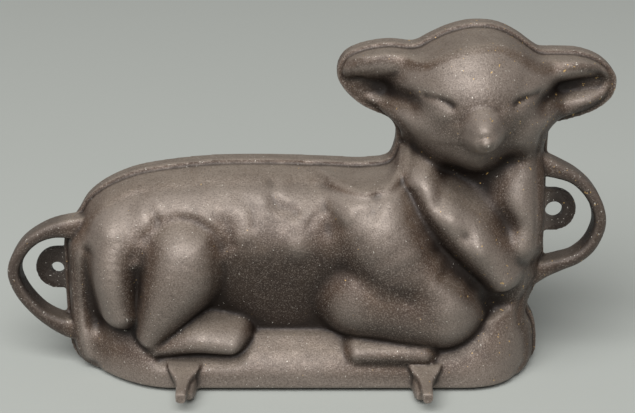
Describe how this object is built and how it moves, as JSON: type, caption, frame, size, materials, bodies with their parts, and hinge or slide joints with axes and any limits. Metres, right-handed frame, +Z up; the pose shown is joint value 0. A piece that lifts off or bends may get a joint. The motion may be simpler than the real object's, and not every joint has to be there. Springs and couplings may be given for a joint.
{
  "type": "cake mould",
  "caption": "Two-part cast-iron cake mould shaped like a reclining lamb, with looped handles, tapered feet and a lift-off back half with hanging lugs.",
  "frame": {"origin": "on the table, under the middle of the closed mould's bounding box", "axes": "+X towards the lamb's head along its length, +Y from its face side to its back side across the parting, +Z up"},
  "size_m": [0.3458, 0.1252, 0.2049],
  "materials": {
    "front_iron": "seasoned, satin",
    "back_iron": "seasoned, satin"
  },
  "bodies": {
    "front_half": {"front_half": "front_iron"},
    "back_half": {"back_half": "back_iron"}
  },
  "joints": [
    {"name": "back_half_slide", "type": "slide", "parent": "front_half", "child": "back_half", "axis": [0, 1, 0], "range_m": [0, 0.15]}
  ]
}
